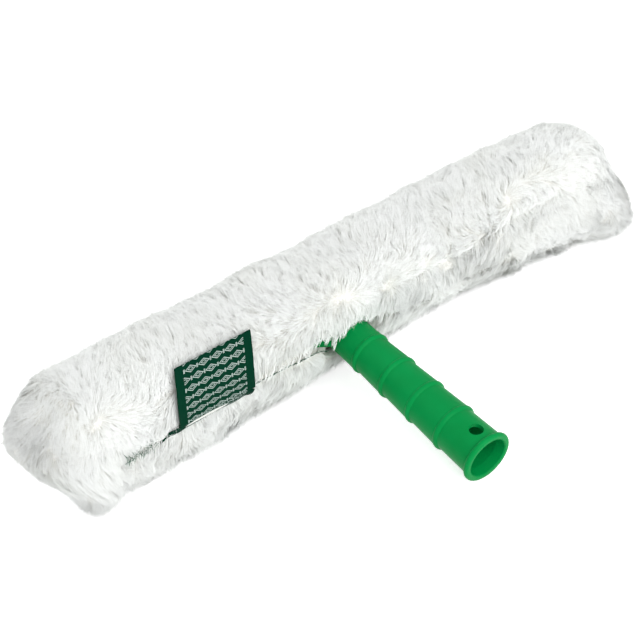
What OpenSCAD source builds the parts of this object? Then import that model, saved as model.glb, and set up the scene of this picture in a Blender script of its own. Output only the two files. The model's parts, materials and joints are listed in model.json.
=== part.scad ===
// Window scrubber: a moulded T-bar with a hollow ringed handle, in a sewn plush sleeve.
// Every piece is drawn in the T-bar's own frame: X along the bar, y = 0 at the bar's back face,
// the handle along -Y on the axis z = 0. resting() then lays it down as it lies on a table,
// on the sleeve's belly and on the rim of the handle.

/* [Bar] */
// Length of the bar over its rounded ends
bar_len = 352; // [240:2:460]
// Height of the bar, across the handle
bar_h = 44; // [40:1:60]
// Depth of the bar, from its back face to its open front
bar_d = 26; // [20:1:40]
// Wall of the bar
bar_wall = 2.4; // [1.6:0.1:3.2]
// Radius of the two long back edges of the bar
bar_edge_r = 9; // [4:0.5:12]
// Radius of the two long front edges of the bar
front_edge_r = 1; // [0.8:0.1:2]
// Radius of the bar's ends, seen from the front
bar_end_r = 17; // [8:0.5:19]
// Pitch of the cross ribs that make the water pockets
rib_pitch = 22; // [14:1:40]
// Thickness of the ribs
rib_t = 1.8; // [1.2:0.1:3]
// How far the ribs stay behind the bar's front edge
rib_setback = 3; // [1:0.5:8]
// Length of a drain slot in the bar's long walls
slot_len = 12; // [6:0.5:14]
// Width of a drain slot
slot_w = 5; // [3:0.5:8]

/* [Handle] */
// Length of the handle, from the bar's back face to its rim
handle_len = 135; // [110:1:180]
// Radius of the neck that passes through the slit
neck_r = 12.6; // [10:0.1:14]
// Radius over the ring nearest the bar
ring_r = 13.5; // [13:0.1:16]
// How much each ring is larger than the one before it
ring_growth = 0.43; // [0:0.01:0.8]
// Number of rings along the grip
rings = 4; // [2:1:4]
// Distance from ring to ring
ring_pitch = 24.1; // [18:0.1:28]
// Distance from the last ring to the rim
rim_run = 28.3; // [20:0.1:34]
// Drop of the grip just past a ring
ring_step = 1.3; // [0.6:0.1:1.6]
// Rise of a ring over the grip just before it
ring_rise = 0.5; // [0.2:0.1:1]
// Radius of a ring's rounded crest
crest_r = 2.2; // [1.5:0.1:3]
// Outer radius of the rim
rim_r = 16; // [15.6:0.1:19]
// Radius of the rounded edge of the rim
bead_r = 1.7; // [1:0.1:2.2]

/* [Socket] */
// Radius of the straight part of the pole socket
socket_r = 11.3; // [9:0.1:11.5]
// Radius of the socket's mouth, at the rim
mouth_r = 12.9; // [12:0.1:13.4]
// Chamfer of the mouth's edge
mouth_edge = 0.6; // [0.3:0.1:1]
// Length of the flare that leads a pole into the socket
lead_in = 6; // [3:0.5:12]
// Depth of the socket from the rim
socket_depth = 96; // [60:1:100]
// Radius of the narrower core beyond the socket
core_r = 8.5; // [5:0.1:10]
// Plastic left between the core and the bar's back face
core_floor = 6; // [3:0.5:12]
// Radius of the hole that a pole's lock button snaps into
lock_r = 4.1; // [3:0.1:5]
// Distance from the rim to the lock hole's axis
lock_from_rim = 11.1; // [9:0.1:20]

/* [Gussets] */
// How far each gusset runs along the bar from the neck
gusset_run = 22; // [10:1:40]
// How far each gusset runs along the neck from the bar
gusset_rise = 14; // [6:1:16]
// Thickness of the gussets
gusset_t = 5; // [3:0.5:8]

/* [Sleeve] */
// Thickness of the plush behind the bar, backing and pile
plush_back = 17.6; // [10:0.1:26]
// Thickness of the plush in front of the bar
plush_front = 21.6; // [12:0.1:28]
// Thickness of the plush above and below the bar
plush_side = 18.6; // [12:0.1:26]
// Thickness of the plush past each end of the bar
plush_end = 19.6; // [12:0.1:28]
// How much further the right hood stands off the bar than the left one, as it isn't drawn home
right_slack = 26; // [0:1:40]
// Radius of the sleeve's long edges
sleeve_edge_r = 27; // [20:0.5:29]
// Radius of the sleeve's end edges
sleeve_end_r = 22; // [10:0.5:26]
// Length of each closed hood
hood_len = 41; // [36:1:70]
// Depth of the pile pressed flat where the sleeve lies
belly_flat = 0.8; // [0.3:0.1:2]
// Clearance of the plush round the T-bar
fit = 0.4; // [0.3:0.05:0.8]
// Clearance of the neck in the open slit
neck_fit = 0.6; // [0.4:0.1:1.5]

/* [Closure] */
// Thickness of the woven tab, which is also the width of the slit
tab_t = 1.2; // [0.8:0.1:1.6]
// Width of the tab along the bar
tab_w = 50; // [30:1:60]
// Distance of the tab's middle from the handle's axis
tab_x = 94; // [60:1:110]
// Height to which the tab reaches over the sleeve's upper edge
tab_top = 37; // [24:0.5:39]
// Length of the tab's end that is sewn into the slit
tab_sewn = 8; // [5:0.5:12]
// Thickness of the loop strip on the sleeve
loop_t = 1.0; // [0.6:0.1:1.6]
// Thickness of the hook strip on the tab
hook_t = 0.8; // [0.5:0.1:1.4]
// Gap between the closed tab and what it lies on
closed_gap = 0.3; // [0.2:0.05:0.5]
// Lower edge of the hook and loop strips
strip_low = 9; // [6:0.5:14]
// Upper edge of the hook and loop strips
strip_high = 27; // [20:0.5:30]
// How far the strips stay inside the tab's sides
strip_inset = 4; // [1:0.5:8]

/* [Hems] */
// Thickness of the tape that binds the slit's edges
hem_t = 1.4; // [0.8:0.1:2.5]
// Width of the hem tape
hem_w = 8; // [5:0.5:12]

/* [Hidden] */
$fn = 96;
far = 1000;

green = [0.01, 0.62, 0.34];
woven_green = [0.02, 0.27, 0.17];
plush_white = [0.94, 0.94, 0.93];
tape_white = [0.88, 0.88, 0.86];

// Number of cross ribs on each side of the handle
rib_count = floor((bar_len / 2 - bar_end_r) / rib_pitch);

// The sleeve's outer box in the T-bar's frame
sleeve_back = -(fit + plush_back);
sleeve_front = bar_d + fit + plush_front;
sleeve_half_h = bar_h / 2 + fit + plush_side;
sleeve_half_len = bar_len / 2 + fit + plush_end;
hood_x = sleeve_half_len - hood_len;

// Half height of the slit where the neck passes, and between the closed flaps
neck_gap = neck_r + neck_fit;
slit_half = tab_t / 2;

// Places along the handle, counted from the bar's back face; the neck is straight within the plush
neck_end = neck_fit - sleeve_back;
first_ring = handle_len - rim_run - (rings - 1) * ring_pitch;
function ring_at(k) = first_ring + k * ring_pitch;
function ring_radius(k) = ring_r + k * ring_growth;
rim_neck = handle_len - bead_r;
grip_end_r = rim_r - bead_r;

// The closed tab lies over the loop strip, the gap and the hook strip
tab_lift = loop_t + closed_gap + hook_t;
hinge_y = sleeve_back - tab_lift - tab_t / 2;

// Tilt at which the belly's flat and the rim's lowest edge share one level
edge_y = sleeve_back + sleeve_edge_r;
edge_z = -(sleeve_half_h - sleeve_edge_r);
reach_y = edge_y + handle_len - bead_r;
reach_z = edge_z + rim_r - bead_r;
rest_tilt = asin((sleeve_edge_r - belly_flat - bead_r) / norm([reach_y, reach_z]))
          - atan2(reach_z, reach_y);
rest_lift = sleeve_edge_r - belly_flat - edge_y * sin(rest_tilt) - edge_z * cos(rest_tilt);

// Shift that puts the middle of the resting part's depth at y = 0; its middle along X is there too
back_most = -(handle_len - bead_r) * cos(rest_tilt) - (rim_r - bead_r) * sin(rest_tilt) - bead_r;
front_most = (sleeve_front - sleeve_edge_r) * cos(rest_tilt)
           + (sleeve_half_h - sleeve_edge_r) * sin(rest_tilt) + sleeve_edge_r;
rest_shift = -(back_most + front_most) / 2;

// Lays a piece down from the T-bar's frame to the way the scrubber rests on a table
module resting() {
    translate([-right_slack / 2, rest_shift, rest_lift]) rotate([rest_tilt, 0, 0]) children();
}

// A rectangle from corner a to corner b whose left and right corners have radii ra and rb
module round_box(a, b, ra, rb) {
    translate([a.x + ra, a.y]) square([b.x - a.x - ra - rb, b.y - a.y]);
    translate([a.x, a.y + ra]) square([ra, b.y - a.y - 2 * ra]);
    translate([b.x - rb, a.y + rb]) square([rb, b.y - a.y - 2 * rb]);
    for (y = [a.y + ra, b.y - ra]) translate([a.x + ra, y]) circle(ra);
    for (y = [a.y + rb, b.y - rb]) translate([b.x - rb, y]) circle(rb);
}

// Extrudes an outline drawn in (y, z) along X, from x0 to x1
module along_x(x0, x1) {
    translate([x0, 0, 0]) rotate([90, 0, 90]) linear_extrude(x1 - x0) children();
}

// Extrudes an outline drawn in (x, z) along Y, from y0 to y1
module along_y(y0, y1) {
    translate([0, y1, 0]) rotate([90, 0, 0]) linear_extrude(y1 - y0) children();
}

// The bar's outer form, grown by g on every side
module bar_form(g) {
    half = bar_len / 2;
    intersection() {
        along_x(-half - g, half + g)
            round_box([-g, -bar_h / 2 - g], [bar_d + g, bar_h / 2 + g], bar_edge_r + g,
                front_edge_r + g / 2);
        along_y(-2 * g - 1, bar_d + 2 * g + 1)
            round_box([-half - g, -bar_h / 2 - g], [half + g, bar_h / 2 + g], bar_end_r + g, bar_end_r + g);
    }
}

// The hollow of the bar, open to the front
module bar_hollow() {
    half = bar_len / 2 - bar_wall;
    r = bar_end_r - bar_wall;
    intersection() {
        along_x(-half, half)
            round_box([bar_wall, bar_wall - bar_h / 2], [far, bar_h / 2 - bar_wall],
                bar_edge_r - bar_wall, front_edge_r);
        along_y(0, bar_d + 1)
            round_box([-half, bar_wall - bar_h / 2], [half, bar_h / 2 - bar_wall], r, r);
    }
}

// Cross ribs stand between the pockets, and a ring stands behind the handle
module bar_ribs() {
    intersection() {
        bar_form(-bar_wall / 2);
        union() {
            for (side = [-1, 1], i = [1 : rib_count])
                translate([side * i * rib_pitch - rib_t / 2, 0, -bar_h / 2])
                    cube([rib_t, bar_d - rib_setback, bar_h]);
            translate([-bar_len / 2, 0, -rib_t / 2]) cube([bar_len, bar_d - rib_setback, rib_t]);
            rotate([-90, 0, 0]) difference() {
                cylinder(r = neck_r, h = bar_d - rib_setback);
                translate([0, 0, bar_wall]) cylinder(r = neck_r - rib_t, h = bar_d);
            }
            translate([-rib_t / 2, 0, -bar_h / 2]) cube([rib_t, bar_d - rib_setback, bar_h]);
        }
    }
}

// One slot through the upper and lower wall of each pocket lets the water run to the plush
module drain_slots() {
    for (side = [-1, 1], i = [0 : rib_count - 1])
        translate([side * (i + 0.5) * rib_pitch, bar_d / 2 + 1, 0]) {
            cube([slot_len - slot_w, slot_w, bar_h + 2], center = true);
            for (end = [-1, 1])
                translate([end * (slot_len - slot_w) / 2, 0, -bar_h / 2 - 1])
                    cylinder(d = slot_w, h = bar_h + 2, $fn = 32);
        }
}

// Outline of the grip to revolve: radius across, distance from the bar's back face upwards
module grip_outline() {
    square([neck_r, neck_end]);
    for (k = [0 : rings - 1]) {
        low = k == 0 ? neck_end : ring_at(k - 1);
        low_r = k == 0 ? neck_r : ring_radius(k - 1) - ring_step;
        polygon([[0, low], [low_r, low], [ring_radius(k) - ring_rise, ring_at(k)], [0, ring_at(k)]]);
        translate([ring_radius(k) - crest_r, ring_at(k)]) circle(crest_r);
    }
    last = rings - 1;
    polygon([
        [0, ring_at(last)], [ring_radius(last) - ring_step, ring_at(last)],
        [grip_end_r, rim_neck], [grip_end_r, handle_len], [0, handle_len]
    ]);
    translate([rim_r - bead_r, handle_len - bead_r]) circle(bead_r);
}

// Outline of what is hollow in the handle: the flared mouth, the pole socket and the core
module socket_outline() {
    polygon([
        [0, core_floor], [core_r, core_floor], [core_r, handle_len - socket_depth],
        [socket_r, handle_len - socket_depth], [socket_r, handle_len - lead_in],
        [mouth_r - mouth_edge, handle_len - mouth_edge], [mouth_r, handle_len],
        [mouth_r, handle_len + 1],
        [0, handle_len + 1]
    ]);
}

module revolved_handle() {
    rotate([90, 0, 0]) rotate_extrude() intersection() {
        children();
        square([far, far]);
    }
}

// The two gussets that brace the neck along the bar, grown by g
module gussets(g) {
    for (side = [0, 1]) mirror([side, 0, 0])
        translate([0, 0, -gusset_t / 2 - g]) linear_extrude(gusset_t + 2 * g)
            polygon([
                [0, bar_wall], [neck_r + gusset_run + 2 * g, bar_wall],
                [neck_r + gusset_run + 2 * g, -g], [neck_r + 2 * g, -gusset_rise - g],
                [0, -gusset_rise - g]
            ]);
}

module t_bar() {
    color(green) resting() difference() {
        union() {
            difference() {
                bar_form(0);
                bar_hollow();
                drain_slots();
            }
            bar_ribs();
            difference() {
                union() {
                    revolved_handle() grip_outline();
                    gussets(0);
                }
                translate([-far / 2, bar_wall, -far / 2]) cube(far);
            }
        }
        revolved_handle() socket_outline();
        translate([0, lock_from_rim - handle_len, socket_r / 2]) cylinder(r = lock_r, h = rim_r);
    }
}

// The sleeve's outline in (y, z), grown by g
module sleeve_outline(g) {
    round_box([sleeve_back - g, -sleeve_half_h - g], [sleeve_front + g, sleeve_half_h + g],
        sleeve_edge_r + g, sleeve_edge_r + g);
}

// Presses what lies lower than the table flat
module pressed_flat() {
    difference() {
        resting() children();
        translate([-far / 2, -far / 2, -far]) cube([far, far, far]);
    }
}

// The plush round the bar between the two hoods, open at its back as far as the slit's edges
module plush_panel() {
    color(plush_white) pressed_flat() difference() {
        along_x(-hood_x, hood_x) sleeve_outline(0);
        bar_form(fit);
        translate([-far / 2, sleeve_back - 1, -neck_gap])
            cube([far, 1 + plush_back + 2 * fit, 2 * neck_gap]);
    }
}

// A closed pocket over one end of the bar; side is -1 on the left and 1 on the right
module hood(side, slack) {
    reach = sleeve_half_len + slack;
    color(plush_white) pressed_flat() mirror([side < 0 ? 1 : 0, 0, 0]) difference() {
        intersection() {
            along_x(hood_x, reach) sleeve_outline(0);
            along_y(sleeve_back - 1, sleeve_front + 1)
                round_box([-reach, -sleeve_half_h], [reach, sleeve_half_h], sleeve_end_r, sleeve_end_r);
            translate([0, 0, -sleeve_half_h - 1]) linear_extrude(2 * sleeve_half_h + 2)
                round_box([-reach, sleeve_back], [reach, sleeve_front], sleeve_end_r, sleeve_end_r);
        }
        translate([slack, 0, 0]) bar_form(fit);
    }
}

// One edge of the slit in the plush; up is 1 for the upper edge and -1 for the lower
module flap_space(up, side, inner, outer, depth) {
    x0 = side < 0 ? -hood_x : neck_gap;
    z0 = up < 0 ? -outer : inner;
    translate([x0, sleeve_back, z0]) cube([hood_x - neck_gap, depth, outer - inner]);
}

module flap(up, side) {
    color(plush_white) resting() difference() {
        flap_space(up, side, slit_half, neck_gap, plush_back);
        flap_space(up, side, slit_half, slit_half + hem_t, hem_w);
        gussets(fit);
        bar_form(fit);
    }
}

// The tape sewn over the slit's edge, seen as a thin line along the slit
module hem(up, side) {
    color(tape_white) resting() difference() {
        flap_space(up, side, slit_half, slit_half + hem_t, hem_w);
        gussets(fit);
    }
}

// A strip that follows the sleeve's back from height z0 to z1, between t0 and t1 proud of it
module back_strip(w, t0, t1, z0, z1) {
    along_x(-tab_x - w / 2, -tab_x + w / 2) intersection() {
        difference() {
            sleeve_outline(t1);
            sleeve_outline(t0);
        }
        translate([sleeve_back - t1 - 1, z0]) square([sleeve_edge_r + t1 + 1, z1 - z0]);
    }
}

module loop_strip() {
    color(tape_white) resting()
        back_strip(tab_w - 2 * strip_inset, 0, loop_t, strip_low, strip_high);
}

// The end of the woven band that is sewn into the slit, up to the fold it swings on
module tab_root() {
    color(woven_green) resting()
        translate([-tab_x - tab_w / 2, hinge_y + tab_t / 2 + closed_gap, -tab_t / 2])
            cube([tab_w, tab_lift - closed_gap + tab_sewn, tab_t]);
}

// The free part of the woven band, which closes the slit
module closure_tab() {
    color(woven_green) resting() {
        back_strip(tab_w, tab_lift, tab_lift + tab_t, 0, tab_top);
        translate([-tab_x - tab_w / 2, hinge_y, 0]) rotate([0, 90, 0])
            cylinder(d = tab_t, h = tab_w, $fn = 32);
    }
}

module hook_strip() {
    color(tape_white) resting()
        back_strip(tab_w - 2 * strip_inset, tab_lift - hook_t, tab_lift, strip_low, strip_high);
}

t_bar();
plush_panel();
hood(-1, 0);  // left_hood
hood(1, right_slack);  // right_hood
flap(1, -1);  // upper_flap_left
flap(1, 1);  // upper_flap_right
flap(-1, -1);  // lower_flap_left
flap(-1, 1);  // lower_flap_right
hem(1, -1);  // upper_hem_left
hem(1, 1);  // upper_hem_right
hem(-1, -1);  // lower_hem_left
hem(-1, 1);  // lower_hem_right
tab_root();
loop_strip();
closure_tab();
hook_strip();
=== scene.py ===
import json
import math
import bpy
import numpy as np
from mathutils import Matrix


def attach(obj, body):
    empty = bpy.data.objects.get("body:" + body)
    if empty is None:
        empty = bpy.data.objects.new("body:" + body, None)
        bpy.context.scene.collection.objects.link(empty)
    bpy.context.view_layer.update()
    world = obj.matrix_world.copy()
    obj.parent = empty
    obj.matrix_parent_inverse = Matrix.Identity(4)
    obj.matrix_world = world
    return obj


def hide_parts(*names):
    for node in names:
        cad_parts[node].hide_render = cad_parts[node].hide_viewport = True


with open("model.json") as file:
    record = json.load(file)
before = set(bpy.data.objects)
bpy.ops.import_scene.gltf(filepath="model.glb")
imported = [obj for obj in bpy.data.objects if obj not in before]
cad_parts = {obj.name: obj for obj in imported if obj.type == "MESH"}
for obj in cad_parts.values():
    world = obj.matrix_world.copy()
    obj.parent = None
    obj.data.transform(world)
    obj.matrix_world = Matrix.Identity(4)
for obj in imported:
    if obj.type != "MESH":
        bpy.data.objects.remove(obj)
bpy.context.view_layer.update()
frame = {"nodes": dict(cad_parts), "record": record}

# The T-bar's own frame, in millimetres: X along the bar, y = 0 at the bar's back face, the handle
# along -Y on the axis z = 0. laid() takes points from it to the way the scrubber rests on a table.
MM = 0.001
SOCKET_MIDDLE = -84.0
NECK_R = 12.6
socket = next(m for m in frame["record"]["mounts"] if m["name"] == "pole_socket")
TILT = math.atan2(-socket["axis"][2], -socket["axis"][1])
TURN = np.array([[1, 0, 0], [0, math.cos(TILT), -math.sin(TILT)], [0, math.sin(TILT), math.cos(TILT)]])
SHIFT = np.array(socket["pos_m"]) / MM - TURN @ np.array([0, SOCKET_MIDDLE, 0])


def laid(points):
    return (np.asarray(points, float) @ TURN.T + SHIFT) * MM


# The pile's tips fill PILE and its roots stand on CLOTH, both boxes with rounded edges and ends:
# back, front, half height, edge radius, left end, right end, end radius
PILE = dict(back=-18.0, front=48.0, half=41.0, edge=27.0, left=202.0, right=238.0, end=25.0)
CLOTH = dict(back=-3.2, front=29.2, half=25.2, edge=13.0, left=183.0, right=216.0, end=12.5)
# How much further the middle of an end stands out than its rim
END_CROWN = 2.5
# How far below the pile's tips it gets dense
DEEP = 3.4
# Where the hoods start, counted from the handle's axis, and the closing tab's sides and top
HOOD_X = 155.0
TAB_LEFT, TAB_RIGHT, TAB_TOP = -119.0, -69.0, 37.0


# From 0 at low to 1 at high, with soft ends; low may also be the larger one
def smooth(low, high, x):
    t = np.clip((x - low) / (high - low), 0, 1)
    return t * t * (3 - 2 * t)


# 1 in the middle, falling away on both sides
def bell(offset, width):
    return np.exp(-(offset / width) ** 2)


# The same round a point, with its own width in each direction
def lump(p, centre, widths):
    return np.exp(-(((p - centre) / widths) ** 2).sum(-1))


def unit(v):
    return v / np.maximum(np.linalg.norm(v, axis=-1, keepdims=True), 1e-9)


# Large odd numbers that scramble a cell's place into an even random number
CELL_MIX, SEED_MIX, STIRS = (73856093, 19349663, 83492791), 2654435761, (1274126177, 668265263)
WORD, FRACTION = 0xFFFFFFFF, 0xFFFFFF


# Even random numbers from 0 to 1, one for each whole-numbered cell
def lattice(cells, seed):
    c = cells.astype(np.int64)
    h = (c[..., 0] * CELL_MIX[0]) ^ (c[..., 1] * CELL_MIX[1]) ^ (c[..., 2] * CELL_MIX[2])
    h = h ^ (seed * SEED_MIX)
    h = (h ^ (h >> 13)) & WORD
    h = (h * STIRS[0]) & WORD
    h = h ^ (h >> 16)
    h = (h * STIRS[1]) & WORD
    return ((h ^ (h >> 15)) & FRACTION) / float(FRACTION)


# Smooth noise from -1 to 1 whose waves are about size long
def waves(points, size, seed):
    p = points / size
    cell = np.floor(p)
    t = p - cell
    t = t * t * (3 - 2 * t)
    total = 0
    for corner in np.ndindex(2, 2, 2):
        share = np.prod(np.where(np.array(corner) == 1, t, 1 - t), axis=-1)
        total = total + share * lattice(cell + np.array(corner), seed)
    return total * 2 - 1


# The nearest of a loose lattice of tuft centres: one number for each tuft
def tuft_of(points, size, seed):
    base = np.floor(points / size)
    best = np.full(len(points), np.inf)
    name = np.zeros(len(points))
    for step in np.ndindex(3, 3, 3):
        cell = base + np.array(step) - 1
        jitter = np.stack([lattice(cell, seed + k) for k in range(3)], -1)
        far = (cell + jitter) * size - points
        far = (far * far).sum(-1)
        closer = far < best
        best = np.where(closer, far, best)
        name = np.where(closer, lattice(cell, seed + 5), name)
    return np.unique(name, return_inverse=True)[1]


# A rounded box's outline in (y, z) from the middle of its back upwards and round, and its normals;
# turn goes from 0 to 1
def outline(turn, form):
    r = form["edge"]
    a, b = form["half"] - r, form["front"] - form["back"] - 2 * r
    arc = r * math.pi / 2
    runs = [a, arc, b, arc, 2 * a, arc, b, arc, a]
    ends = np.cumsum([0] + runs)
    d = (turn % 1) * ends[-1]
    k = np.clip(np.searchsorted(ends, d, side="right") - 1, 0, len(runs) - 1)
    along = (d - ends[k]) / np.array(runs)[k]
    y0, y1, z1 = form["back"], form["front"], form["half"]
    y, z, ny, nz = (np.zeros_like(d) for _ in range(4))
    # Straight runs: start, step and normal, each as (y, z)
    straight = {
        0: ((y0, 0), (0, a), (-1, 0)),
        2: ((y0 + r, z1), (b, 0), (0, 1)),
        4: ((y1, a), (0, -2 * a), (1, 0)),
        6: ((y1 - r, -z1), (-b, 0), (0, -1)),
        8: ((y0, -a), (0, a), (-1, 0)),
    }
    for i, (start, step, normal) in straight.items():
        m = k == i
        y[m], z[m] = start[0] + step[0] * along[m], start[1] + step[1] * along[m]
        ny[m], nz[m] = normal
    # Round corners: centre (y, z) and the angle that each starts at
    corners = {1: (y0 + r, a, 180), 3: (y1 - r, a, 90), 5: (y1 - r, -a, 0), 7: (y0 + r, -a, -90)}
    for i, (cy, cz, start) in corners.items():
        m = k == i
        angle = math.radians(start) - along[m] * math.pi / 2
        ny[m], nz[m] = np.cos(angle), np.sin(angle)
        y[m], z[m] = cy + r * ny[m], cz + r * nz[m]
    return y, z, ny, nz


# A point and its normal on the sleeve. reach is 0 in the middle, 1 where the round of an end starts,
# 2 where its flat starts and 3 at its centre, and is negative on the left.
def sleeve(reach, turn, form):
    y, z, ny, nz = outline(turn, form)
    side = np.where(reach < 0, -1.0, 1.0)
    end = np.where(reach < 0, form["left"], form["right"])
    g = np.abs(reach)
    r = form["end"]
    angle = np.clip(g - 1, 0, 1) * math.pi / 2
    inset = r * (1 - np.cos(angle))
    x = np.clip(g, 0, 1) * (end - r) + r * np.sin(angle)
    y, z = y - ny * inset, z - nz * inset
    shut = 1 - np.clip(g - 2, 0, 1)
    middle = (form["back"] + form["front"]) / 2
    y = middle + (y - middle) * shut
    z = z * shut
    x = x + END_CROWN * (1 - shut * shut)
    point = np.stack([side * x, y, z], -1)
    normal = unit(np.stack([side * np.sin(angle), ny * np.cos(angle), nz * np.cos(angle)], -1))
    return point, normal


# How far points lie outside a form, negative inside, and the way out from there
def outside(p, form):
    r, e = form["edge"], form["end"]
    y = p[..., 1] - (form["back"] + form["front"]) / 2
    z = p[..., 2]
    side = np.where(p[..., 0] < 0, -1.0, 1.0)
    qy = np.abs(y) - (form["front"] - form["back"]) / 2 + r
    qz = np.abs(z) - form["half"] + r
    both = np.hypot(np.maximum(qy, 0), np.maximum(qz, 0))
    d = both + np.minimum(np.maximum(qy, qz), 0) - r
    wy = np.where(both > 0, np.maximum(qy, 0) / np.maximum(both, 1e-9), qy > qz)
    wz = np.where(both > 0, np.maximum(qz, 0) / np.maximum(both, 1e-9), qy <= qz)
    a, b = d + e, side * p[..., 0] - np.where(side < 0, form["left"], form["right"]) + e
    long = np.hypot(np.maximum(a, 0), np.maximum(b, 0))
    wa, wb = np.maximum(a, 0) / np.maximum(long, 1e-9), np.maximum(b, 0) / np.maximum(long, 1e-9)
    out = np.stack([side * wb, np.sign(y) * wy * wa, np.sign(z) * wz * wa], -1)
    return long + np.minimum(np.maximum(a, b), 0) - e, unit(out)


# The slit is open as far as LIPS_OPEN beside the handle's axis. From there it closes over a run on
# each side, to LIPS_SHUT from its middle line.
LIPS_OPEN, LIPS_SHUT, NECK_ROOM = 9.0, 0.7, 1.0
CLOSING_LEFT, CLOSING_RIGHT = 38.0, 26.0


# Half height of the opening between the slit's lips, with a little slack between the tab and the neck
def slit_gap(x):
    run = np.where(x < 0, CLOSING_LEFT, CLOSING_RIGHT)
    t = np.clip((np.abs(x) - LIPS_OPEN) / run, 0, 1)
    slack = (0.9 + 0.8 * smooth(-55, -30, x)) * smooth(-70, -62, x) * smooth(-12, -26, x)
    return LIPS_SHUT + slack + (NECK_R + NECK_ROOM) * (1 - t) ** 1.6 * (1 + 0.6 * t)


# The same below the slit's middle, where the lower lip comes up close beside the neck
def slit_drop(x):
    return np.minimum(slit_gap(x), 3.8 + 12.0 * smooth(21, 13, np.abs(x)))


# Height of the slit's middle: its left part is pulled up by the closing tab
def slit_middle(x):
    return 5.5 * smooth(8, 30, -x) * smooth(160, 140, -x)


# Height of the line that the pile is parted along: a groove in the right half
def parting(x):
    return 25.0 - 8.0 * smooth(-10, 45, x) + 3.0 * smooth(100, 180, x) + 1.5 * np.sin(x / 17.0)


# Lumps of the pile: (height, size, seed); the small ones grow by LUMPS_RIGHT on the right hood
BROAD_LUMPS, SMALL_LUMPS, LUMPS_RIGHT = (1.6, 34.0, 3), (1.0, 15.0, 4), 0.9
# Depths and heights of what is parted, sewn, pressed, drawn in or brushed into the pile
PARTING_DEPTH, PARTING_SHOULDER, SEAM_DEPTH, TAB_PRESS, FLAP_DRAWN, NECK_ARCH = 5.5, 2.0, 2.6, 2.5, 7.0, 2.2
TASSEL_HEIGHT, TASSEL_AT, TASSEL_WIDTHS = 1.5, (-190, -8, -34), (16, 16, 13)
# Small gaps in the pile: middle, half length along the bar, depth; all are GAP_WIDTH across
GAP_WIDTH = 1.7
GAPS = [
    (-82, 0, 40, 2.8, 2.6), (-51.5, -4.5, 38, 2.4, 2.6), (-26, -5, 37.5, 2.0, 2.4), (10, -7.6, 36, 2.8, 2.6),
    (-140, 4, 39, 2.0, 2.0), (42, -2, 38, 2.0, 2.0), (88, -3, 38, 3.0, 2.4), (124, -6, 35, 2.4, 2.4),
    (179, -13, 27, 3.0, 2.8), (150, -2, 36, 2.0, 2.2), (62, 8, 41, 2.0, 2.0), (-108, -3, 40, 1.8, 2.0),
]


# Lumps, grooves and creases of the pile's outer surface, as millimetres along its normal
def relief(p):
    x, y, z = p[:, 0], p[:, 1], p[:, 2]
    broad, broad_size, broad_seed = BROAD_LUMPS
    small, small_size, small_seed = SMALL_LUMPS
    small = small + LUMPS_RIGHT * smooth(150, 190, x)
    rise = broad * waves(p, broad_size, broad_seed) + small * waves(p, small_size, small_seed)
    back = smooth(2, -8, y)
    # The parting, a groove with a shoulder above it
    from_line = z - parting(x)
    parted = smooth(22, 50, x) * smooth(192, 165, x) * back
    rise = rise - PARTING_DEPTH * parted * bell(from_line, 4.0)
    rise = rise + PARTING_SHOULDER * parted * bell(from_line - 10, 6.0)
    # The left hood's seam
    rise = rise - SEAM_DEPTH * bell(x + HOOD_X + 3 - 0.12 * z, 4.0) * smooth(14, -2, z) * back
    # Pressed under and round the closing tab
    under = smooth(TAB_LEFT - 5, TAB_LEFT + 3, x) * smooth(TAB_RIGHT + 4, TAB_RIGHT - 2, x)
    under = under * smooth(TAB_TOP + 5, TAB_TOP - 2, z) * smooth(-6, 0, z) * smooth(16, 4, y)
    rise = rise * (1 - under) - TAB_PRESS * under
    # The lower flap is drawn in near the neck
    drawn = bell(x - 45, np.where(x < 45, 95.0, 120.0)) * smooth(-4, -24, z) * smooth(30, 8, y)
    rise = rise - FLAP_DRAWN * drawn
    for *middle, half_length, depth in GAPS:
        rise = rise - depth * lump(p, middle, (half_length, GAP_WIDTH, GAP_WIDTH))
    # The left hood's lower corner, brushed into a tassel
    rise = rise + TASSEL_HEIGHT * lump(p, TASSEL_AT, TASSEL_WIDTHS)
    # The upper lip arches over the neck
    return rise + NECK_ARCH * bell(x, 26.0) * smooth(4, 14, z) * smooth(34, 22, z) * back


# Where the ends start to hang, and how far it is from there to the left and the right end
HANG_FROM, HANG_LEFT, HANG_RIGHT = 150.0, 52.0, 88.0


# The ends in their slack hoods: the left one is drawn in at its corners, the right one slopes and
# its lower back corner flops out on the table
def hang(p):
    q = p.copy()
    x, y, z = p[:, 0], p[:, 1], p[:, 2]
    t = np.clip((-x - HANG_FROM) / HANG_LEFT, 0, 1.2) ** 1.5
    corner = 15.0 * np.minimum(np.abs(z - 4) / 26, 1.5) ** 1.5 + 9.0 * ((y - 24) / 30) ** 2
    loose = 1 - 0.43 * smooth(-18, -34, z) * smooth(24, -10, y)
    q[:, 0] += t * (corner * loose - 2.5)
    q[:, 1] -= t * 8.0 * smooth(10, -26, z) * smooth(20, -18, y)
    q[:, 2] -= t * 4.0 * smooth(6, 34, z)
    t = np.clip((x - HANG_FROM) / HANG_RIGHT, 0, 1.1) ** 1.5
    flop = smooth(22, -24, z) * smooth(46, -10, y)
    q[:, 0] += t * (-9.0 * smooth(-16, 30, z) - 8.0 * smooth(0, 44, y) + 5.0 * flop)
    q[:, 1] -= t * (21.0 * flop - 3.0)
    q[:, 2] -= t * (4.0 + 3.0 * smooth(10, 44, y))
    return q


def undercoat_at(reach, turn):
    p, n = sleeve(reach, turn, PILE)
    return hang(p + n * (relief(p) - DEEP)[:, None]), n


# How far the cloth turns outwards to make the slit's lips
LIP_OUT = 11.0


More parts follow.
